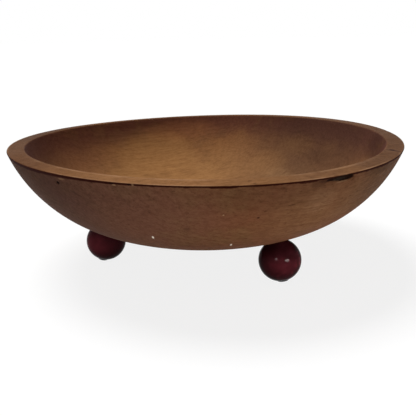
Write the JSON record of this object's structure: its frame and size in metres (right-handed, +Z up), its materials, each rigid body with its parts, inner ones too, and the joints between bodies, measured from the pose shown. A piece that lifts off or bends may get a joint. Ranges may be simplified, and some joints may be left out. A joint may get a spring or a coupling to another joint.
{
  "type": "dough bowl",
  "caption": "Round turned wooden dough bowl with a thick plain rim and a smooth curved wall, standing on small leaning ball feet that are doweled to its underside.",
  "frame": {"origin": "on the floor, under the centre of the rim, at the level of the worn faces of the feet", "axes": "+Z up along the bowl's turning axis, -Y towards the front foot, +X to the right of it"},
  "size_m": [0.3294, 0.3294, 0.1047],
  "materials": {
    "bowl_wood": "aged brown hardwood with an oiled satin patina, worn at the rim",
    "foot_paint": "turned hardwood under dark maroon gloss paint",
    "dowel_wood": "plain unfinished hardwood"
  },
  "bodies": {
    "root": {"bowl": "bowl_wood", "front_foot": "foot_paint", "left_foot": "foot_paint", "right_foot": "foot_paint", "front_dowel": "dowel_wood", "left_dowel": "dowel_wood", "right_dowel": "dowel_wood"}
  },
  "joints": []
}
